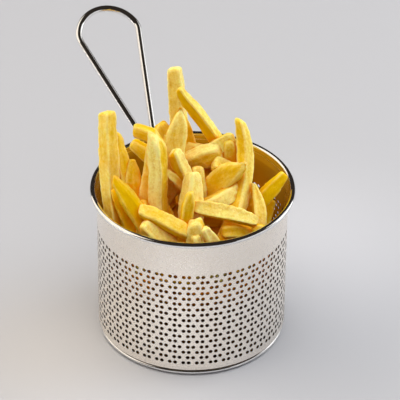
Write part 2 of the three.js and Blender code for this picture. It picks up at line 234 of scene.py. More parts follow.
MIDDLE_FRIES = (
    ((-16, 7, 97.5), (-30, -10, 41), (-0.5, 1, 0), (6.4, 5.8), -12, (0, 0), 0, (0.45, 0.3)),
    ((-19, -3, 108.5), (-21, -19, 26), (-0.5, 2.5, -0.5), (6.8, 7.0), -28, (-1.2, 0.1), 0.05, (0.85, 0.2)),
    ((-15.5, -4, 90.5), (0.5, -7.5, 69.5), (0, 0, 0), (3.8, 3.8), 10, (0, 0), 0.2, (0.6, 0.5)),
    ((-2, 9, 112.5), (-9.5, 6.5, 63.5), (-0.5, -1, 0.5), (9.2, 6.0), 0, (0, 0), 0.85, (0.65, 0.3)),
    ((-11, -3.5, 99), (1.5, -8, 59), (0.5, 1, 0), (6.4, 6.2), -42, (0.3, 0), 0.15, (0.1, 0.75)),
    ((-6, -12.5, 92), (-10.5, -20.5, 36.5), (-1.5, -1.5, 0.5), (8.8, 8.0), 38, (0, 0.3), 0.35, (0.85, 0.6)),
    ((1, -2.5, 87), (-1, -12, 34), (-0.5, -2, 0.5), (7.4, 6.0), 15, (0, 0), 0.3, (0.7, 0.4)),
    ((13, -2, 91.5), (-9, 13.5, 73.5), (0.5, 1.5, 0.5), (9.2, 7.4), 32, (0, 0), 0.2, (0.35, 0.8)),
    ((9.5, 7, 87), (-6, 24.5, 87.5), (0, 0, 0.5), (5.8, 5.4), 5, (0, 0), 0, (0.6, 0.4)),
    ((8.5, -3.5, 88), (29, -8, 57), (3, -2, 3), (6.2, 5.4), 20, (0, 0), 0, (0.75, 0.4)),
    ((16, -19, 94.5), (-3.5, 1.5, 61), (0.5, 1, 1), (10.2, 5.6), -8, (1.1, -0.3), 0.75, (0.2, 0.3)),
    ((-12, -22.5, 89), (-17.5, -22, 52.5), (0, -0.5, 0), (5.6, 5.0), 12, (0.6, 0), 0.45, (0.2, 0.1)),
)
FRONT_FRIES = (
    ((-32, -12.5, 79), (-14, -29, 71), (0, 0, 0), (6.6, 6.4), 22, (0.2, 0.3), 0.25, (0.5, 0.0)),
    ((-33, -18.5, 75.5), (0, -33, 45), (-1, 1, -1.5), (8.0, 6.4), 20, (0, 0), 0.35, (0.8, 0.5)),
    ((-13, -29.5, 78), (-12.5, -26, 38), (1, -1, 0), (8.6, 7.0), -15, (0.3, -0.2), 0.25, (0.6, 0.4)),
    ((-10.5, -34, 76.5), (1, -27, 31), (3.5, -2, 1.5), (6, 5.6), 15, (0, 0), 0.4, (0.9, 0.5)),
    ((-14, -32.5, 73), (-8, -20, 47), (-0.5, -4.5, 0), (3.6, 4), 20, (0, 0), 0, (0.8, 0.5)),
    ((-10.5, -21, 80), (14.5, -37, 74.5), (0, 0, 1.0), (6.2, 5.4), 12, (0.2, 0.1), 0.3, (0.75, 0.2)),
    ((-3, -15, 73), (21, -9.5, 78), (0.5, -4.5, 2.5), (6.6, 5.6), -20, (0, 0), 0, (0.8, 0.4)),
    ((12.5, -37.5, 72.5), (19, -20, 56), (4.5, -3.5, 1), (3.6, 3.8), -20, (0, 0), 0, (0.3, 0.1)),
    ((-0.5, -31.5, 70), (16, -22, 46), (6, -5, 6.5), (5.6, 5.4), -10, (0, 0), 0, (0.2, 0.1)),
)
RIGHT_FRIES = (
    ((22.5, -2, 106), (-9, -36, 59), (9, 1, -5), (6.2, 6.4), -34, (-0.8, 0.4), 0.35, (0.25, 0.6)),
    ((21.5, -18.5, 82), (5, -30, 38), (5, -6, 1.5), (5.8, 5.2), 15, (-0.6, -0.2), 0.6, (0.6, 0.3)),
    ((39, -15.5, 80.5), (-6, -16, 40.5), (-0.5, -1.5, 1), (6.4, 5.8), 20, (0, 0), 0.35, (0.1, 0.05)),
    ((33.5, -11, 65), (11, -27, 26), (-1.5, -3.5, 3), (6.2, 5.8), 0, (0, 0), 0, (0.1, 0.0)),
    ((16.5, -2.5, 96.5), (26, 2.5, 56), (0, 0, 1), (8.2, 6.4), 0, (0, 0), 0.45, (0.35, 0.2)),
    ((20, -1.5, 96.5), (10, 4.5, 87.5), (0, 0, 1.0), (7.2, 5.6), 8, (0, 0), 0.3, (0.65, 0.3)),
    ((24, -18.5, 66), (8.5, -17, 51), (0, 0, 0), (6.0, 5.6), 10, (0, 0), 0.2, (0.1, 0.0)),
)
BACK_FRIES = (
    ((4, 29, 121), (7, 21.5, 69), (-1.5, -1.5, 0.5), (7.2, 6.0), -16, (0.1, 0), 0.12, (0.55, 0.7)),
    ((-0.5, 14.5, 119), (30.5, 5, 66), (0, -2, 0), (4.9, 5.6), 50, (0, 0.2), 0.3, (0.65, 0.0)),
    ((3, 18.5, 103), (7, 9.5, 71), (0, 0, 0), (5.0, 5.0), 10, (-0.7, -0.3), 0.5, (0.15, 0.1)),
    ((-5, 25, 95.5), (1, 9, 54), (3.5, 1.5, 0.5), (8.4, 6.4), 10, (0, 0), 0.3, (0.25, 0.1)),
    ((-13.5, 36, 88), (9, 3, 63), (5.5, 2.5, 4), (5.8, 6.0), -22, (0.1, 0), 0, (0.2, 0.3)),
    ((-18.5, 26.5, 88), (-5.5, 10.5, 69.5), (2, 0.5, 0.5), (6.2, 6), -22, (0, 0), 0.2, (0.15, 0.1)),
    ((11, 34, 81), (2, 8, 42), (1, 1, 0), (6.2, 5.8), 30, (0.3, 0), 0, (0.5, 0.3)),
    ((31, 19, 76), (6, 2, 46), (0, -1, 1.5), (6.4, 5.6), 15, (0.2, 0), 0, (0.5, 0.3)),
    ((1, 37.5, 79), (-12, 10, 44), (1, 1, 0), (5.6, 6), 10, (0, 0.3), 0, (0.5, 0.3)),
    ((7, 4, 78), (21, 2, 70), (0, 0, 0), (6.6, 6.0), 0, (0, 0), 0.2, (0.1, 0.0)),
)
SHOWING = {
    "fries_left": LEFT_FRIES,
    "fries_middle": MIDDLE_FRIES,
    "fries_front": FRONT_FRIES,
    "fries_right": RIGHT_FRIES,
    "fries_back": BACK_FRIES,
}


# ---------------------------------------------------------------- finishes

# Colours as the shaders take them; a pair is the two between which a surface varies.
BARE = ((0.97, 0.895, 0.80, 1), (1.0, 0.94, 0.86, 1))
# painted reflection of the fries on the inside of the wall, where the steel is also partly matt
FRY_REFLECTION = ((0.55, 0.30, 0.007, 1), (0.70, 0.42, 0.018, 1))
# painted shade inside the holes, over the rough punched edge of their lip and wall
ROUGH_LIP_AND_SHADE = (0.07, 0.05, 0.035, 1)
POLISHED = ((0.86, 0.85, 0.84, 1), (0.92, 0.915, 0.91, 1))
# painted shade in the groove between the seam bead and the wall
GROOVE_SHADE = (0.09, 0.06, 0.045, 1)
GOLDEN = ((0.72, 0.41, 0.001, 1), (0.86, 0.56, 0.002, 1))
# pale crust, which also serves as painted light on lit faces and as a painted highlight along edges
PALE = (0.96, 0.835, 0.29, 1)
# painted shade of the fries deep in the heap
HEAP_SHADE = (0.83, 0.34, 0.001, 1)
TOASTED = (0.70, 0.42, 0.05, 1)
# painted shade on fries in the wall's shadow, behind the holes
WALL_SHADE = (0.25, 0.09, 0.001, 1)
# painted shade of the heap's depths, and darker painted shade where the core meets the wall
CORE_SHADE = ((0.60, 0.18, 0.001, 1), (0.80, 0.30, 0.003, 1))
CORE_WALL_SHADE = (0.05, 0.018, 0.005, 1)
CARD = ((0.43, 0.428, 0.443, 1), (0.445, 0.443, 0.457, 1))
DARK_ROOM = (0.028, 0.022, 0.018, 1)


class Value:
    """A number that changes over a surface: arithmetic on it adds Math nodes to its finish."""

    def __init__(self, finish, socket):
        self.finish, self.socket = finish, socket

    def math(self, operation, first, second):
        """What a Math node makes of two numbers."""
        return self.finish.add("ShaderNodeMath", {"operation": operation}, {0: first, 1: second})

    def __add__(self, other):
        return self.math("ADD", self, other)

    def __radd__(self, other):
        return self.math("ADD", other, self)

    def __sub__(self, other):
        return self.math("SUBTRACT", self, other)

    def __rsub__(self, other):
        return self.math("SUBTRACT", other, self)

    def __mul__(self, other):
        return self.math("MULTIPLY", self, other)

    def __rmul__(self, other):
        return self.math("MULTIPLY", other, self)

    def __pow__(self, other):
        return self.math("POWER", self, other)

    def __rpow__(self, other):
        return self.math("POWER", other, self)


class Finish:
    """One material and the nodes it is made of."""

    def __init__(self, name, **constants):
        self.material = bpy.data.materials.new(name)
        self.material.use_nodes = True
        self.nodes = self.material.node_tree.nodes
        self.links = self.material.node_tree.links
        self.shader = self.nodes["Principled BSDF"]
        self.wear(**constants)

    def fill(self, socket, value):
        """Links a value to a socket, or sets the socket to a number or colour."""
        if isinstance(value, Value):
            self.links.new(value.socket, socket)
        else:
            socket.default_value = value

    def add(self, kind, settings=None, inputs=None, output=0):
        """A node of that kind: its settings first, then the values or links of its sockets."""
        node = self.nodes.new(kind)
        for name, setting in (settings or {}).items():
            setattr(node, name, setting)
        for name, value in (inputs or {}).items():
            self.fill(node.inputs[name], value)
        return Value(self, node.outputs[output])

    def place(self):
        """The point on the surface, in metres."""
        return self.add("ShaderNodeTexCoord", output="Object")

    def cloud(self, scale, detail=2.0, roughness=0.5, vector=None):
        """Soft noise from 0 to 1, about scale cells to the metre."""
        inputs = {"Vector": vector or self.place(), "Scale": scale, "Detail": detail,
                  "Roughness": roughness}
        return self.add("ShaderNodeTexNoise", {}, inputs, output="Fac")

    def spread(self, value, low, high, to_low=0.0, to_high=1.0):
        """The value with low to high stretched to another range, and held inside it."""
        inputs = {"Value": value, "From Min": low, "From Max": high, "To Min": to_low,
                  "To Max": to_high}
        return self.add("ShaderNodeMapRange", {"clamp": True}, inputs)

    def parts(self, vector):
        """The three parts of a vector."""
        split = self.add("ShaderNodeSeparateXYZ", {}, {"Vector": vector}).socket.node
        return [Value(self, output) for output in split.outputs]

    def attribute(self, name, output="Fac"):
        """A number or a vector kept on the mesh's points."""
        return self.add("ShaderNodeAttribute", {"attribute_name": name}, output=output)

    def blend(self, share, first, second):
        """One colour turned into another by a share."""
        settings = {"data_type": "RGBA", "blend_type": "MIX", "clamp_factor": True}
        return self.add("ShaderNodeMix", settings, {0: share, 6: first, 7: second}, output=2)

    def bump(self, height, strength, distance, under=None):
        """The surface raised where height is high, by distance in metres, on the bump under it."""
        inputs = {"Strength": strength, "Distance": distance, "Height": height}
        if under:
            inputs["Normal"] = under
        return self.add("ShaderNodeBump", {}, inputs)

    def wear(self, **sockets):
        """Sets the shader's own sockets, or feeds them what changes over the surface."""
        for socket, value in sockets.items():
            self.fill(self.shader.inputs[socket.replace("_", " ")], value)
        return self.material


def from_axis(across, deep):
    """Distance of the point on the surface from the basket's axis."""
    return (across * across + deep * deep) ** 0.5


def satin_steel():
    """Sheet steel with a fine brushing round the basket, a painted reflection of the fries on its inside,
    and painted shade in its holes.
    """
    steel = Finish("satin_steel")
    across, deep, up = steel.parts(steel.place())
    turn = steel.add("ShaderNodeMath", {"operation": "ARCTAN2"}, {0: deep, 1: across})
    # Marks that are long round the basket and fine up the wall.
    unrolled = steel.add("ShaderNodeCombineXYZ", {}, {"X": turn * 0.6, "Y": up * 60.0, "Z": 0.0})
    # 1 on the outer skin, 0 on the inner one, and in between on the lip of a hole.
    facing = steel.attribute("outside")
    outside = steel.spread(facing, 0.0, 0.1)
    # 0 in a hole, whose lip and wall take the painted shade
    surface = steel.spread(facing, 0.7, 0.95)
    brushing = steel.cloud(60.0, 3.0, 0.7, unrolled)
    handling = steel.cloud(45.0, 3.0, 0.6)
    tint = steel.spread(handling, 0.3, 0.7)
    bare = steel.blend(tint, *BARE)
    # Painted reflection: the inside is tinted golden brown and made partly matt, standing in for the fries
    # mirrored in its steel.
    fry_reflection = steel.blend(handling, *FRY_REFLECTION)
    return steel.wear(
        Base_Color=steel.blend(outside, fry_reflection, steel.blend(surface, ROUGH_LIP_AND_SHADE, bare)),
        Metallic=steel.spread(outside, 0.0, 1.0, 0.45, 1.0),
        Roughness=steel.spread(brushing, 0.25, 0.75, 0.2, 0.27) + outside * 0.05,
        Normal=steel.bump(brushing, 0.12, 0.06 * MM),
    )


def bright_steel():
    """Polished steel with the faint waves that polishing leaves, and painted shade in the groove at the
    foot.
    """
    steel = Finish("bright_steel", Metallic=1.0)
    waves = steel.cloud(160.0, 2.0, 0.5)
    hairlines = steel.cloud(2600.0, 2.0, 0.6)
    colour = steel.blend(waves, *POLISHED)
    # 1 in the groove at the foot, which gets the painted shade
    groove = steel.attribute("groove")
    return steel.wear(
        Base_Color=steel.blend(groove, colour, GROOVE_SHADE),
        Roughness=steel.spread(hairlines, 0.3, 0.7, 0.06, 0.12) + groove * 0.4,
        Normal=steel.bump(waves, 0.05, 0.2 * MM),
    )


def fried_potato():
    """Thin crisp crust over soft potato: some sides pale, some golden, partly as painted light; painted
    shade deeper inside the heap and by the wall.
    """
    crust = Finish(
        "fried_potato",
        Subsurface_Weight=0.35,
        Subsurface_Radius=(1.0, 0.5, 0.05),
        Subsurface_Scale=0.002,
        IOR=1.45,
        Specular_IOR_Level=0.05,
    )
    edge = crust.attribute("edge")
    pale = crust.attribute("pale")
    end = crust.attribute("end")
    depth = crust.attribute("buried")
    broad = crust.cloud(85.0, 2.0, 0.5)
    mottle = crust.cloud(420.0, 4.0, 0.6)
    grains = crust.cloud(1150.0, 3.0, 0.6)
    pores = crust.cloud(2300.0, 3.0, 0.6)
    spots = (broad - 0.5) * 0.8 + (mottle - 0.5) * 1.2 + (grains - 0.5) * 1.1
    streaks = crust.cloud(1.0, 3.0, 0.6, crust.attribute("local", "Vector"))
    # Pale and golden in patches and streaks. The paleness of each face is partly its own tone and
    # partly painted light, and the paler long edges are partly crisp crust and partly a painted highlight.
    sides = pale * (spots * 0.8 + 1.0) + spots * 0.3 + (streaks - 0.5) * 0.7
    paleness = crust.spread(sides + edge * 0.38 + end * 0.08, 0.13, 1.07) ** 1.3
    golden = crust.blend(crust.spread(streaks, 0.35, 0.65), *GOLDEN)
    face = crust.blend(paleness, golden, PALE)
    # Painted shade: deeper orange where a point misses more of the sky, down in the heap; toasted at the
    # corners of the ends.
    shade = crust.spread(depth - pale * 0.2, 0.12, 0.7)
    face = crust.blend(shade, face, HEAP_SHADE)
    toasted = crust.spread(end * edge + mottle * 0.8, 0.9, 1.5) * 0.35
    face = crust.blend(toasted, face, TOASTED)
    # Painted shade: dark brown where a fry lies close to the wall, behind the holes.
    across, deep, up = crust.parts(crust.place())
    near_wall = crust.spread(from_axis(across, deep), 35.5 * MM, 38.5 * MM)
    wall_shade = near_wall * crust.spread(up, 69.0 * MM, 60.0 * MM)
    face = crust.blend(wall_shade, face, WALL_SHADE)
    relief = crust.bump(mottle + grains * 0.5, 0.5, 0.5 * MM)
    return crust.wear(
        Base_Color=face,
        Roughness=crust.spread(mottle, 0.3, 0.7, 0.38, 0.58),
        Normal=crust.bump(pores, 0.25, 0.14 * MM, relief),
    )


def shaded_potato():
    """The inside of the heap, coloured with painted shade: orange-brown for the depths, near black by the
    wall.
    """
    depth = Finish("shaded_potato", Specular_IOR_Level=0.3)
    lumps = depth.cloud(160.0, 3.0, 0.6)
    across, deep, _ = depth.parts(depth.place())
    middle = depth.blend(lumps, *CORE_SHADE)
    at_wall = depth.spread(from_axis(across, deep), 36.0 * MM, 40.0 * MM)
    return depth.wear(
        Base_Color=depth.blend(at_wall, middle, CORE_WALL_SHADE),
        Roughness=depth.spread(lumps, 0.3, 0.7, 0.5, 0.65),
        Normal=depth.bump(lumps, 0.4, 0.6 * MM),
    )


def floor_card():
    """Smooth pale card, a little uneven in tone."""
    card = Finish("floor_card", Roughness=0.9, Specular_IOR_Level=0.1)
    tint = card.cloud(1.3, 1.0, 0.4)
    return card.wear(Base_Color=card.blend(tint, *CARD))


# ---------------------------------------------------------------- making pieces

def make(name, points, faces, finish, sharp=None, normals=None, attributes=None):
    """A mesh object from points in millimetres, smooth except over edges sharper than an angle."""
    mesh = bpy.data.meshes.new(name)
    mesh.from_pydata([(x * MM, y * MM, z * MM) for x, y, z in points], [], faces)
    mesh.shade_smooth()
    if sharp is not None:
        mesh.set_sharp_from_angle(angle=math.radians(sharp))
    for key, values in (attributes or {}).items():
        if isinstance(values[0], tuple):
            layer = mesh.attributes.new(key, "FLOAT_VECTOR", "POINT")
            layer.data.foreach_set("vector", [part for value in values for part in value])
        else:
            layer = mesh.attributes.new(key, "FLOAT", "POINT")
            layer.data.foreach_set("value", values)
    mesh.materials.append(finish)
    if normals is not None:
        mesh.normals_split_custom_set(normals)
    thing = bpy.data.objects.new(name, mesh)
    bpy.context.scene.collection.objects.link(thing)
    return thing


def belongs(thing, node):
    """The piece stands for a node of the frame and moves with the whole."""
    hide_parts(node)
    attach(thing, "root")


def ring_faces(section, turns, start=0, closed=True):
    """Quads between neighbouring sections of a skin, and from the last to the first if closed."""
    faces = []
    for i in range(turns if closed else turns - 1):
        here, there = start + i * section, start + (i + 1) % turns * section
        for j in range(section):
            k = (j + 1) % section
            faces.append((here + j, there + j, there + k, here + k))
    return faces


def turned(profile, sides):
    """A ring turned round +Z from a section that runs anticlockwise."""
    points = []
    for i in range(sides):
        angle = TAU * i / sides
        points += [(r * math.cos(angle), r * math.sin(angle), z) for r, z in profile]
    return points, ring_faces(len(profile), sides)


def arc(centre, radius, first, last, steps):
    """Points of an arc in the section plane, angles in degrees."""
    angles = [math.radians(first + (last - first) * i / steps) for i in range(steps + 1)]
    return [(centre[0] + radius * math.cos(a), centre[1] + radius * math.sin(a)) for a in angles]


def circle(radius, sides, x=0.0, y=0.0):
    """Points of a circle, anticlockwise."""
    angles = [TAU * i / sides for i in range(sides)]
    return [(x + radius * math.cos(a), y + radius * math.sin(a)) for a in angles]


def between(outer, inner):
    """Triangles of the band between two anticlockwise loops of (index, x, y) round the origin."""
    def angle(entry):
        return math.atan2(entry[2], entry[1])

    def unrolled(loop):
        """The loop's angles, rising over one turn and back to its first point."""
        turns, last = [angle(loop[0])], angle(loop[0])
        for entry in loop[1:] + loop[:1]:
            last += math.remainder(angle(entry) - last, TAU)
            turns.append(last)
        return turns

    start = angle(outer[0])
    first = min(range(len(inner)), key=lambda k: abs(math.remainder(angle(inner[k]) - start, TAU)))
    inner = inner[first:] + inner[:first]
    outside, inside = unrolled(outer), unrolled(inner)
    shift = TAU * round((outside[0] - inside[0]) / TAU)
    faces, i, j = [], 0, 0
    while i < len(outer) or j < len(inner):
        out_now, in_now = outer[i % len(outer)][0], inner[j % len(inner)][0]
        if j == len(inner) or (i < len(outer) and outside[i + 1] < inside[j + 1] + shift):
            i += 1
            faces.append((out_now, outer[i % len(outer)][0], in_now))
        else:
            j += 1
            faces.append((out_now, inner[j % len(inner)][0], in_now))
    return faces


# ---------------------------------------------------------------- basket

def flare(height):
    """How far the inside of the wall leans out at a height, and how steeply."""
    span = FLARE_TOP - FLARE_FOOT
    rise = max(0.0, (height - FLARE_FOOT) / span)
    return FLARE * rise ** FLARE_POWER, FLARE * FLARE_POWER * rise ** (FLARE_POWER - 1) / span


def rising(low, high, steps=20):
    """Levels from just above low up to high."""
    return [low + (high - low) * i / steps for i in range(1, steps + 1)]


def perforated_wall(finish):
    """The wall as sheet steel with every hole cut through it. Inside, it leans out to the rim."""
    half_row = ROW_PITCH / 2
    lowest = TOP_ROW - (HOLE_ROWS - 1) * ROW_PITCH - half_row
    holed = [lowest + ROW_PITCH * i for i in range(HOLE_ROWS + 1)]
    levels = [WALL_FOOT, *holed, *rising(holed[-1], NECK)]
    inner_levels = [WALL_FOOT, *holed, *rising(holed[-1], FLARE_TOP)]
    # The four lines of a pair: halfway between neighbouring holes, in even and in odd rows.
    halfway = (IN_PAIR / 2, (PAIR_ANGLE + IN_PAIR) / 2)
    lines = sorted((shift + line) % PAIR_ANGLE for shift in (0, ROW_SHIFT) for line in halfway)
    columns = [FIRST_HOLE + PAIR_ANGLE * pair + line for pair in range(PAIRS) for line in lines]
    count = len(columns)
    points, faces, normals, facing = [], [], [], []

    def point(angle, height, depth, side):
        """Adds a point, so deep under the wall's outside, and gives its number."""
        radius = WALL_RADIUS - depth
        points.append((radius * math.cos(angle), radius * math.sin(angle), height))
        facing.append(side)
        return len(points) - 1

    def outward(index, way=1):
        """The outer skin's normal at a point, or the inner one's where way is -1."""
        x, y, height = points[index]
        lean = flare(height)[1] if way < 0 else 0
        return (Vector((x, y, 0)).normalized() * way + Vector((0, 0, lean))).normalized()

    def face(corners, ways):
        faces.append(corners)
        normals.extend(ways)

    def hole(row, centre, left):
        """One hole and the skins round it, from its left line to the next but one."""
        height = TOP_ROW - row * ROW_PITCH
        below = HOLE_ROWS - row
        trio = [(left + i) % count for i in range(3)]
        rings = []
        for radius, depth, side in HOLE_RINGS:
            loop = []
            for i in range(HOLE_SIDES):
                angle = TAU * (i + 0.5) / HOLE_SIDES
                x, y = radius * math.cos(angle), radius * math.sin(angle)
                loop.append((point(centre + x / WALL_RADIUS, height + y, depth, side), x, y))
            rings.append(loop)
        mouth, lip, back = rings
        for skin, ring, way in ((outer, mouth, 1), (inner, back, -1)):
            outline = []
            for level, order in ((below, trio), (below + 1, trio[::-1])):
                for c in order:
                    x = math.remainder(columns[c] - centre, TAU) * WALL_RADIUS
                    outline.append((skin[level][c], x, levels[level] - height))
            for corners in between(outline, ring):
                corners = corners[::way]
                face(corners, [outward(i, way) for i in corners])
        axis = Vector((math.cos(centre), math.sin(centre), 0))
        side = Vector((-axis.y, axis.x, 0))
        inward = [-(side * x + Vector((0, 0, y))).normalized() for _, x, y in lip]
        for upper, lower, top in ((mouth, lip, [outward(i) for i, _, _ in mouth]), (lip, back, inward)):
            for i in range(HOLE_SIDES):
                j = (i + 1) % HOLE_SIDES
                corners = [upper[i][0], upper[j][0], lower[j][0], lower[i][0]]
                face(corners, [top[i], top[j], inward[j], inward[i]])

    outer = [[point(a, level, 0, 1.0) for a in columns] for level in levels]
    inner = [[point(a, level, SHEET - flare(level)[0], 0.0) for a in columns] for level in inner_levels]
    for k in (0, *range(HOLE_ROWS + 1, len(levels) - 1)):
        for c in range(count):
            d = (c + 1) % count
            for skin, way in ((outer, 1), (inner, -1)):
                corners = [skin[k][c], skin[k][d], skin[k + 1][d], skin[k + 1][c]][::way]
                face(corners, [outward(i, way) for i in corners])
    for k, way in ((0, -1), (len(levels) - 1, 1)):
        for c in range(count):
            d = (c + 1) % count
            corners = [outer[k][c], outer[k][d], inner[k][d], inner[k][c]][::way]
            face(corners, [Vector((0, 0, way))] * 4)
    for row in range(HOLE_ROWS):
        odd = row % 2
        for pair in range(PAIRS):
            for second in (0, 1):
                centre = FIRST_HOLE + PAIR_ANGLE * pair + IN_PAIR * second + ROW_SHIFT * odd
                left = len(lines) * pair + 2 * second - 1 + odd
                hole(row, centre, left)
    wall = make("perforated_wall", points, faces, finish, normals=normals, attributes={"outside": facing})
    belongs(wall, "basket_wall")


def rolled_rim(finish):
    """The top of the wall: it rolls over outward and comes back under the bead."""
    profile = [(WALL_RADIUS + out, NECK + up) for out, up in NECK_CURVE]
    profile += arc((RIM_RADIUS, RIM_HEIGHT), BEAD, *BEAD_SWEEP, BEAD_STEPS)
    rim = make("rolled_rim", *turned(profile, RIM_SIDES), finish, sharp=50)
    belongs(rim, "basket_wall")


def base_holes():
    """Middles of the holes in the base, in the same rows of pairs as in the wall."""
    rows = int(BASE_REACH / ROW_PITCH) + 1
    pairs = int(BASE_REACH / (PAIR_ANGLE * WALL_RADIUS)) + 2
    centres = []
    for row in range(-rows, rows + 1):
        for pair in range(-pairs, pairs + 1):
            for second in (0, 1):
                x = (PAIR_ANGLE * pair + IN_PAIR * second + ROW_SHIFT * (row % 2)) * WALL_RADIUS
                y = row * ROW_PITCH
                if math.hypot(x, y) < BASE_REACH:
                    centres.append((x, y))
    return centres


def pressed_base(finish):
    """The floor of the basket, perforated like the wall, with the flange that the wall grips."""
    loops = [circle(BASE_MARGIN, BASE_SIDES)]
    loops += [circle(HOLE, HOLE_SIDES, x, y) for x, y in base_holes()]
    flat, edges, owner = [], [], []
    for number, loop in enumerate(loops):
        start = len(flat)
        flat += [Vector(point) for point in loop]
        owner += [number] * len(loop)
        edges += [(start + i, start + (i + 1) % len(loop)) for i in range(len(loop))]
    triangles = delaunay_2d_cdt(flat, edges, [], 0, 1e-7)[2]
    # A triangle with all its corners on one hole's edge lies in that hole.
    kept = [tri for tri in triangles if owner[tri[0]] == 0 or len({owner[i] for i in tri}) > 1]
    size = len(flat)
    points = [(p.x, p.y, 0) for p in flat] + [(p.x, p.y, FLOOR_THICK) for p in flat]
    faces = [tuple(tri[::-1]) for tri in kept]
    faces += [tuple(i + size for i in tri) for tri in kept]
    faces += [(b, a, a + size, b + size) for a, b in edges[BASE_SIDES:]]
    inside = FLANGE_RADIUS - SHEET
    profile = [
        (FOOT_RADIUS, 0),
        (SEAM_INNER, SEAM_UNDER),
        *arc((SEAM_RADIUS - SEAM_ROUND, SEAM_UNDER + SEAM_ROUND), SEAM_ROUND, -90, 90, 18),
        (FLANGE_RADIUS, SEAM_HEIGHT),
        (FLANGE_RADIUS, FLANGE_HEIGHT),
        (inside, FLANGE_HEIGHT),
        *arc((inside - FLOOR_CORNER, FLOOR_THICK + FLOOR_CORNER), FLOOR_CORNER, 0, -90, 5),
    ]
    start, section = len(points), len(profile)
    groove = [0.0] * start
    for i in range(BASE_SIDES):
        angle = TAU * i / BASE_SIDES
        points += [(r * math.cos(angle), r * math.sin(angle), z) for r, z in profile]
        groove += [1.0 if r == FLANGE_RADIUS else 0.0 for r, _ in profile]
    for i in range(BASE_SIDES):
        j = (i + 1) % BASE_SIDES
        here = [i, *range(start + i * section, start + (i + 1) * section), i + size]
        there = [j, *range(start + j * section, start + (j + 1) * section), j + size]
        faces += [(here[k], there[k], there[k + 1], here[k + 1]) for k in range(section + 1)]
    base = make("pressed_base", points, faces, finish, sharp=40, attributes={"groove": groove})
    belongs(base, "basket_base")


# ---------------------------------------------------------------- handle

def half_wire():
    """Half of the wire as it is bent flat, from the end of a tail to the top of the loop."""
    start = Vector((TAIL_SPACING / 2, 0))
    reach = LOOP_RADIUS - CORNER_RADIUS
    corner = Vector((reach * math.sin(LOOP_HALF_ANGLE), LOOP_CENTRE + reach * math.cos(LOOP_HALF_ANGLE)))
    away = start - corner
    touch = math.atan2(away.y, away.x) + math.acos(CORNER_RADIUS / away.length)
    top = math.pi / 2 - LOOP_HALF_ANGLE
    leg_end = corner + CORNER_RADIUS * Vector((math.cos(touch), math.sin(touch)))
    before = start - Vector((0, SOFT_BEND))
    after = start + (leg_end - start).normalized() * SOFT_BEND
    tail_steps, bend_steps, leg_steps, corner_steps, loop_steps = 12, 10, 40, 8, 24
    straight = TAIL_LENGTH - SOFT_BEND
    half = [Vector((start.x, -TAIL_LENGTH + i * straight / tail_steps)) for i in range(tail_steps)]
    for i in range(bend_steps):
        share = i / bend_steps
        half.append(before * (1 - share) ** 2 + start * 2 * share * (1 - share) + after * share ** 2)
    half += [after.lerp(leg_end, i / leg_steps) for i in range(leg_steps)]
    for i in range(corner_steps):
        angle = touch + (top - touch) * i / corner_steps
        half.append(corner + CORNER_RADIUS * Vector((math.cos(angle), math.sin(angle))))
    for i in range(loop_steps + 1):
        angle = top + (math.pi / 2 - top) * i / loop_steps
        half.append(LOOP_RADIUS * Vector((math.cos(angle), math.sin(angle))) + Vector((0, LOOP_CENTRE)))
    return half


def folded(p):
    """Where a point of the flat wire comes to when the legs are folded out over the rim."""
    out = WALL_RADIUS + WIRE_CLEAR + WIRE
    bend = FOLD_RADIUS * LEAN
    first = -bend / 2
    angle = min(max((p.y - first) / FOLD_RADIUS, 0), LEAN)
    flat = min(p.y - first, 0)
    beyond = max(p.y - first - bend, 0)
    return Vector((
        p.x,
        out + FOLD_RADIUS * (1 - math.cos(angle)) + beyond * math.sin(LEAN),
        FOLD_HEIGHT + first + flat + FOLD_RADIUS * math.sin(angle) + beyond * math.cos(LEAN),
    ))


def swept(route, radius, sides):
    """A round wire along a route, its ends slightly rounded."""
    stations = [(route[0], WIRE_TIP)] + [(p, 1.0) for p in route[1:-1]] + [(route[-1], WIRE_TIP)]
    points, normal = [], Vector((0, 1, 0))
    for i, (middle, share) in enumerate(stations):
        ahead = route[min(i + 1, len(route) - 1)] - route[max(i - 1, 0)]
        along = ahead.normalized()
        normal = (normal - along * normal.dot(along)).normalized()
        side = along.cross(normal)
        for k in range(sides):
            angle = TAU * k / sides
            points.append(middle + radius * share * (normal * math.cos(angle) + side * math.sin(angle)))
    # The sections run clockwise seen from the start, so each quad is turned over.
    faces = [(a, d, c, b) for a, b, c, d in ring_faces(sides, len(stations), closed=False)]
    last = (len(stations) - 1) * sides
    faces.append(tuple(range(sides - 1, -1, -1)))
    faces.append(tuple(range(last, last + sides)))
    return points, faces


def handle(finish):
    """The wire loop from the end of one tail to the end of the other."""
    half = half_wire()
    whole = half + [Vector((-p.x, p.y)) for p in half[-2::-1]]
    points, faces = swept([folded(p) for p in whole], WIRE, WIRE_SIDES)
    wire = make("handle_wire_bright", points, faces, finish, sharp=50)
    belongs(wire, "handle_wire")


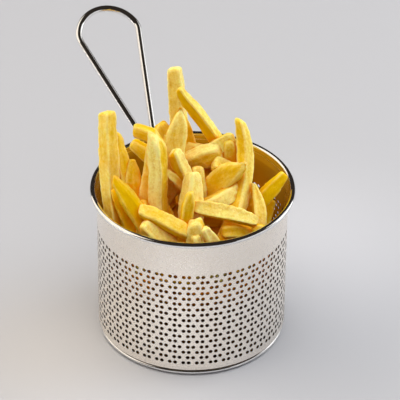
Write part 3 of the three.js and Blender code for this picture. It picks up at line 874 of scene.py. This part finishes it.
def handle_welds(finish):
    """Two lumpy beads of weld that hold the tails to each other and to the wall."""
    points, faces = [], []
    across, through, up = WELD_SIZE
    for number, height in enumerate(WELD_HEIGHTS):
        start = len(points)
        for i in range(WELD_RINGS + 1):
            tilt = math.pi * (i + WELD_POLE) / (WELD_RINGS + 2 * WELD_POLE)
            level = math.sin(tilt)
            for k in range(WELD_SIDES):
                angle = TAU * k / WELD_SIDES
                way = Vector((level * math.cos(angle), level * math.sin(angle), math.cos(tilt)))
                lump = 1 + WELD_LUMP * noise.noise(way * WELD_GRAIN + Vector((0, 0, 5.0 * number)))
                points.append(Vector((
                    way.x * across * lump,
                    WALL_RADIUS + WIRE_CLEAR + through * (1 + way.y * lump),
                    height + way.z * up * lump,
                )))
        faces += ring_faces(WELD_SIDES, WELD_RINGS + 1, start, closed=False)
        faces.append(tuple(range(start, start + WELD_SIDES)))
        end = start + WELD_RINGS * WELD_SIDES
        faces.append(tuple(range(end + WELD_SIDES - 1, end - 1, -1)))
    welds = make("handle_welds", points, faces, finish)
    belongs(welds, "handle_wire")


# ---------------------------------------------------------------- fries

class Skin:
    """The points and faces of a group of fries, and what their finish reads at each point."""

    def __init__(self):
        self.points, self.faces = [], []
        self.kept = {"edge": [], "pale": [], "end": [], "buried": [], "local": []}

    def point(self, place, **values):
        """Adds a point and gives its number."""
        self.points.append(place)
        for name, value in values.items():
            self.kept[name].append(value)
        return len(self.points) - 1

    def outward(self):
        """The way that the skin faces at each point."""
        ways = [Vector() for _ in self.points]
        for face in self.faces:
            a, b, c = (self.points[i] for i in face[:3])
            normal = (b - a).cross(c - a).normalized()
            for i in face:
                ways[i] += normal
        return [way.normalized() for way in ways]


def section_outline(a, b, edge, sink):
    """Points round a fry's section, of half sizes a and b, each with how near an edge it is and
    which two of the four sides meet there."""
    outline = []
    corners = ((a, b, 0), (-a, b, 90), (-a, -b, 180), (a, -b, 270))
    for number, (x, y, first) in enumerate(corners):
        cx, cy = x - math.copysign(edge, x), y - math.copysign(edge, y)
        for degrees in EDGE_DEGREES:
            angle = math.radians(first + degrees)
            round_x, round_y = cx + edge * math.cos(angle), cy + edge * math.sin(angle)
            outline.append((round_x, round_y, 1.0, number - 1, number))
        nx, ny, _ = corners[(number + 1) % 4]
        flat_a, flat_b = (cx, y) if number % 2 == 0 else (x, cy)
        end_a = nx - math.copysign(edge, nx) if number % 2 == 0 else nx
        end_b = ny if number % 2 == 0 else ny - math.copysign(edge, ny)
        facing = math.radians(first + 90)
        inward = Vector((-math.cos(facing), -math.sin(facing)))
        for share, near in SIDE_SHARES:
            dip = sink[number] * (1 - (2 * share - 1) ** 2)
            outline.append((
                flat_a + (end_a - flat_a) * share + inward.x * dip,
                flat_b + (end_b - flat_b) * share + inward.y * dip,
                near,
                number,
                number,
            ))
    return outline


def stations_along(length):
    """Where the sections of a fry stand along it, closer together at its rounded ends."""
    ends = [distance for distance, _ in TIP_ROUNDING]
    count = max(int(length / RING_STEP), LEAST_RINGS)
    middle = [ends[-1] + (length - 2 * ends[-1]) * i / count for i in range(1, count)]
    return ends + middle + [length - distance for distance in ends[::-1]]


def add_fry(fry, seed, skin):
    """Adds one fry to a skin: sections along a bowed line, with puffed edges and uneven faces."""
    tip, foot, bow, (wide, deep), turn, cut, taper, (front, flank) = fry
    chance = random.Random(seed)
    start, span, sag = Vector(foot), Vector(tip) - Vector(foot), Vector(bow)
    length = span.length
    pale = [share + chance.uniform(-PALE_SPREAD, PALE_SPREAD) for share in (front, flank, flank, flank)]
    twist = math.radians(chance.uniform(-TWIST, TWIST))
    offset = Vector([chance.uniform(-NOISE_REACH, NOISE_REACH) for _ in range(3)])
    sink = [chance.uniform(*SINK) for _ in range(4)]
    roundness = EDGE_ROUND * chance.uniform(*ROUND_SPREAD)

    def uneven(x, y, z):
        """Smooth noise of this fry's own, from -1 to 1."""
        return noise.noise(offset + Vector((x, y, z)))

    stations = stations_along(length)
    first = len(skin.points)
    for distance in stations:
        t = distance / length
        from_end = min(distance, length - distance)
        share = next((share for far, share in TIP_ROUNDING if abs(far - from_end) < 1e-6), 1.0)
        # What follows reads the noise in places well apart, so that nothing runs in step.
        wobble = Vector([uneven(distance * WOBBLE_GRAIN, 0, 31 * k) for k in range(3)])
        middle = start + span * t + sag * 4 * t * (1 - t)
        middle += wobble * WOBBLE * min(1.0, from_end / WOBBLE_FROM)
        along = (span + sag * (4 - 8 * t)).normalized()
        side = along.cross(FRONT).normalized()
        across = Matrix.Rotation(math.radians(turn) + twist * (t - 0.5), 3, along) @ side
        through = across.cross(along)
        slope = min(max((t - (1 - END_SHARE)) / (END_SHARE - 1 / length), 0), 1)
        at_foot = min(max((END_SHARE - t) / (END_SHARE - 1 / length), 0), 1)
        narrow = share * (1 - taper * slope ** 2) * (1 - FOOT_TAPER * taper * at_foot ** 2)
        a = wide / 2 * (1 + SWELL * uneven(0, distance * WIDTH_GRAIN, 3)) * narrow
        b = deep / 2 * (1 + SWELL * uneven(9, 0, distance * DEPTH_GRAIN)) * narrow
        edge = min(roundness, EDGE_MOST * min(wide, deep)) * (0.6 + 0.4 * share)
        for x, y, near, one, other in section_outline(a, b, edge, sink):
            slant = (x * cut[0] + y * cut[1]) * slope
            point = middle + across * x + through * y + along * slant
            out = (across * x / a + through * y / b).normalized()
            lump = sum(uneven(*(point * grain)) * height for grain, height in LUMPS)
            lump += near * uneven(*(point * EDGE_LUMPS[0])) * EDGE_LUMPS[1]
            skin.point(
                point + out * lump * share,
                edge=near,
                pale=(pale[one] + pale[other]) / 2,
                end=max(0.0, 1 - from_end / TOASTED_END),
                local=(x * STREAK_ACROSS + seed * STREAK_SHIFT, y * STREAK_ACROSS, distance * STREAK_ALONG),
            )
    # Each quad starts at its last corner, so that it splits along its other diagonal.
    quads = ring_faces(SECTION, len(stations), first, closed=False)
    skin.faces += [(d, a, b, c) for a, b, c, d in quads]
    last = first + (len(stations) - 1) * SECTION
    for start, order in ((first, 1), (last, -1)):
        middle = sum((skin.points[i] for i in range(start, start + SECTION)), Vector()) / SECTION
        hub = skin.point(middle, edge=0.3, pale=front, end=1.0, local=(seed * STREAK_SHIFT, 0.0, 0.0))
        for k in range(SECTION):
            pair = (start + k, start + (k + 1) % SECTION)[::order]
            skin.faces.append((*pair, hub))


def grown(fries, group):
    """The skin of a group of fries."""
    skin = Skin()
    for number, fry in enumerate(fries):
        add_fry(fry, group * SEED_STEP + number, skin)
    return skin


def sky_ways():
    """Directions spread over the sky on a spiral."""
    ways = []
    for i in range(SKY_WAYS):
        rise = SKY_LOWEST + SKY_SPREAD * (i + 0.5) / SKY_WAYS
        flat = math.sqrt(1 - rise * rise)
        ways.append(Vector((flat * math.cos(SPIRAL * i), flat * math.sin(SPIRAL * i), rise)))
    return ways


def look_for_sky(skins):
    """Keeps how much of the sky each point of the fries misses, from 0 for none to 1 for all."""
    points, faces = [], []
    for skin in skins:
        start = len(points)
        points += skin.points
        faces += [tuple(start + i for i in face) for face in skin.faces]
    heap = BVHTree.FromPolygons(points, faces)
    ways = sky_ways()
    for skin in skins:
        for point, out in zip(skin.points, skin.outward()):
            start, missed, seen = point + out * SKY_CLEAR, 0.0, 0.0
            for way in ways:
                facing = max(0.0, way.dot(out) + SKY_SIDEWAYS)
                seen += facing
                if facing:
                    _, _, _, distance = heap.ray_cast(start, way, SKY_REACH)
                    missed += 0 if distance is None else facing * (1 - distance / SKY_REACH)
            skin.kept["buried"].append(missed / seen if seen else SKY_UNSEEN)


def fries_piece(name, skin, finish):
    """A group of fries as one piece."""
    thing = make(name, skin.points, skin.faces, finish, attributes=skin.kept)
    belongs(thing, "fries")


def core_height(radius):
    """Height of the top of the bare core at a distance from the axis."""
    slope = CORE[CORE_SHOULDER:]
    for (far, low), (near, high) in zip(slope, slope[1:]):
        if near <= radius <= far:
            return low + (high - low) * (far - radius) / (far - near)
    return slope[0][1]


def gap_between(first, second):
    """Distance between two straight fries, each given by its two ends."""
    (a, b), (c, d) = first, second
    steps = 6
    along = d - c
    gaps = []
    for i in range(steps + 1):
        p = a.lerp(b, i / steps)
        share = min(max((p - c).dot(along) / along.length_squared, 0), 1)
        gaps.append((c + along * share - p).length)
    return min(gaps)


def filling_fries(showing):
    """Fries laid one by one on the core and on each other, clear of the ones that are placed."""
    chance = random.Random(FILL_SEED)
    tilts = range(-FILL_STEEPEST, FILL_STEEPEST + 1, FILL_SLOPE_STEP)
    slopes = [math.tan(math.radians(degrees)) for degrees in tilts]
    shares = [-1 + i / FILL_STEPS for i in range(2 * FILL_STEPS + 1)]
    taken = [(Vector(fry[0]), Vector(fry[1])) for fry in showing]
    tops, laid = {}, []

    def cell(x, y):
        return round(x / FILL_CELL), round(y / FILL_CELL)

    def top(x, y):
        """Height of the heap so far."""
        return tops.get(cell(x, y), core_height(math.hypot(x, y)))

    def too_high(x, y, z):
        return z > core_height(math.hypot(x, y)) + FILL_RISE

    for _ in range(FILL_TRIES):
        reach = FILL_REACH * math.sqrt(chance.random())
        place, heading = chance.uniform(0, TAU), chance.uniform(0, TAU)
        half = chance.uniform(*FILL_HALF)
        wide, deep = chance.uniform(*FILL_WIDTH), chance.uniform(*FILL_DEPTH)
        turn = chance.uniform(-FILL_TURN, FILL_TURN)
        x, y = reach * math.cos(place), reach * math.sin(place)
        dx, dy = math.cos(heading), math.sin(heading)
        line = [(x + dx * half * s, y + dy * half * s) for s in shares]
        if max(math.hypot(*line[0]), math.hypot(*line[-1])) > FILL_REACH - FILL_MARGIN:
            continue
        ground = [top(*spot) for spot in line]
        rests = [max(g - slope * half * s for g, s in zip(ground, shares)) for slope in slopes]
        rest, slope = min(zip(rests, slopes))
        height = rest + deep * FILL_LIFT
        rise = slope * half
        ends = Vector((*line[-1], height + rise)), Vector((*line[0], height - rise))
        if any(too_high(*end) for end in ends) or too_high(x, y, height):
            continue
        if any(gap_between(ends, other) < FILL_CLEAR for other in taken):
            continue
        for i in range(2 * COVER_STEPS + 1):
            s = -1 + i / COVER_STEPS
            for w in FILL_TRACKS:
                px, py = x + dx * half * s - dy * w, y + dy * half * s + dx * w
                tops[cell(px, py)] = max(top(px, py), height + rise * s + deep * FILL_COVER)
        bow = [chance.uniform(-most, most) for most in FILL_BOW]
        pale = [chance.uniform(0, most) for most in FILL_PALE]
        laid.append((*ends, bow, (wide, deep), turn, (0, 0), FILL_TAPER, pale))
    return laid


def heap_core(finish):
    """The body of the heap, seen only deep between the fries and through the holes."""
    profile = []
    for (r0, z0), (r1, z1) in zip(CORE[1:], CORE[2:]):
        steps = max(int(math.hypot(r1 - r0, z1 - z0) / CORE_STEP), 1)
        profile += [(r0 + (r1 - r0) * i / steps, z0 + (z1 - z0) * i / steps) for i in range(steps)]
    points, faces, count = [], [], len(profile)
    for i in range(CORE_SIDES):
        angle = TAU * i / CORE_SIDES
        for r, z in profile:
            spot = Vector((r * math.cos(angle), r * math.sin(angle), z))
            lump = noise.noise(spot * CORE_GRAIN) * CORE_LUMP - CORE_INSET
            scale = 1 + lump / max(r, CORE_AXIS)
            points.append((spot.x * scale, spot.y * scale, z + (lump / 2 if z > CORE_FOOT else 0)))
    bottom, crown = len(points), len(points) + 1
    points += [(0, 0, CORE[0][1]), (0, 0, CORE[-1][1] - CORE_CROWN_SINK)]
    rows = [(i * count, (i + 1) % CORE_SIDES * count) for i in range(CORE_SIDES)]
    for i, j in rows:
        faces += [(i + k, j + k, j + k + 1, i + k + 1) for k in range(count - 1)]
    for i, j in rows:
        faces.append((bottom, j, i))
        faces.append((crown, i + count - 1, j + count - 1))
    core = make("heap_core", points, faces, finish)
    belongs(core, "fries")


# ---------------------------------------------------------------- stage

def stage():
    """The floor, one wide square."""
    reach = FLOOR_REACH / MM
    corners = [(-reach, -reach, 0), (reach, -reach, 0), (reach, reach, 0), (-reach, reach, 0)]
    floor = make("floor", corners, [(0, 1, 2, 3)], floor_card())


def lamp(name, place, size, power, colour, spread=180, mirrored=True):
    """An area lamp that shines straight down until it is turned."""
    glow = bpy.data.lights.new(name, "AREA")
    glow.shape, glow.size, glow.size_y = "RECTANGLE", size[0], size[1]
    glow.energy, glow.color, glow.spread = power, colour, math.radians(spread)
    thing = bpy.data.objects.new(name, glow)
    thing.location = place
    thing.visible_glossy = mirrored
    bpy.context.scene.collection.objects.link(thing)
    return thing


def toward(bearing, rise):
    """The direction at so many degrees round from where the camera looks and over the floor."""
    around, tilt = math.radians(HEADING + bearing), math.radians(rise)
    return Vector((math.sin(around) * math.cos(tilt), math.cos(around) * math.cos(tilt), math.sin(tilt)))


def soft_box(name, bearing, rise, away, size, power, colour=(1, 1, 1), mirrored=True):
    """A large lamp that faces the basket, placed by its bearing, rise and distance."""
    way = toward(bearing, rise)
    box = lamp(name, AIM + way * away, size, power, colour, mirrored=mirrored)
    box.rotation_euler = way.to_track_quat("Z", "Y").to_euler()


def floor_pool(name, bearing, away, height, size, spread, power, colour):
    """A narrow lamp straight above the floor, so that only its bright patch shows in the steel."""
    around = math.radians(HEADING + bearing)
    place = (away * math.sin(around), away * math.cos(around), height)
    lamp(name, place, (size, size), power, colour, spread, mirrored=False)


def lights():
    """Soft boxes left and right that the steel mirrors, more at both sides, in front and above
    that it doesn't, and four small lamps close over the floor."""
    soft_box("left_lamp", -81, 31, 1.2, (1.74, 1.3), 8.4, (1, 0.91, 0.79))
    soft_box("right_lamp", 67, 22, 1.2, (0.72, 0.9), 2.2)
    soft_box("right_strip", 92, 7, 1.2, (2.2, 0.32), 2.0)
    soft_box("right_fill", 75, 35, 1.3, (1.0, 0.8), 7.5, (0.90, 0.95, 1), mirrored=False)
    soft_box("left_fill", -95, 30, 0.55, (0.4, 0.4), 0.25, (1, 0.75, 0.42), mirrored=False)
    soft_box("front_fill", 180, 60, 1.3, (1.2, 1.2), 7.6, (0.97, 0.98, 1), mirrored=False)
    soft_box("ceiling", 0, 72, 2.0, (5, 5), 84.0, mirrored=False)
    floor_pool("left_pool", -106, 0.55, 0.35, 0.3, 60, 3.2, (1, 0.92, 0.80))
    floor_pool("right_pool", 38, 0.075, 0.22, 0.05, 44, 0.009, (0.97, 0.97, 1))
    floor_pool("warm_pool", -112, 0.075, 0.18, 0.05, 44, 0.006, (1, 0.76, 0.42))
    floor_pool("front_pool", -168, 0.1, 0.3, 0.05, 36, 0.013, (1, 0.96, 0.92))
    world = bpy.data.worlds.new("studio")
    world.use_nodes = True
    world.node_tree.nodes["Background"].inputs["Color"].default_value = DARK_ROOM
    bpy.context.scene.world = world


def camera():
    """The eye stands in front and to the left, and looks down on the basket."""
    heading = math.radians(HEADING)
    forward = toward(0, -PITCH)
    right = Vector((math.cos(heading), -math.sin(heading), 0))
    level = Matrix((right, right.cross(forward), -forward)).transposed()
    view = bpy.data.cameras.new("eye")
    view.lens, view.sensor_width = LENS, SENSOR
    view.clip_start, view.clip_end = NEAREST, FARTHEST
    eye = bpy.data.objects.new("eye", view)
    eye.matrix_world = Matrix.Translation(EYE) @ (level @ Matrix.Rotation(EYE_ROLL, 3, "Z")).to_4x4()
    bpy.context.scene.collection.objects.link(eye)
    bpy.context.scene.camera = eye


satin, bright, potato = satin_steel(), bright_steel(), fried_potato()
perforated_wall(satin)
rolled_rim(bright)
pressed_base(bright)
handle(bright)
handle_welds(bright)
heap_core(shaded_potato())
skins = {name: grown(fries, group) for group, (name, fries) in enumerate(SHOWING.items())}
placed = [fry for fries in SHOWING.values() for fry in fries]
skins["fries_filling"] = grown(filling_fries(placed), FILL_GROUP)
look_for_sky(skins.values())
for name, skin in skins.items():
    fries_piece(name, skin, potato)
stage()
lights()
camera()
bpy.context.scene.view_settings.view_transform = "Standard"
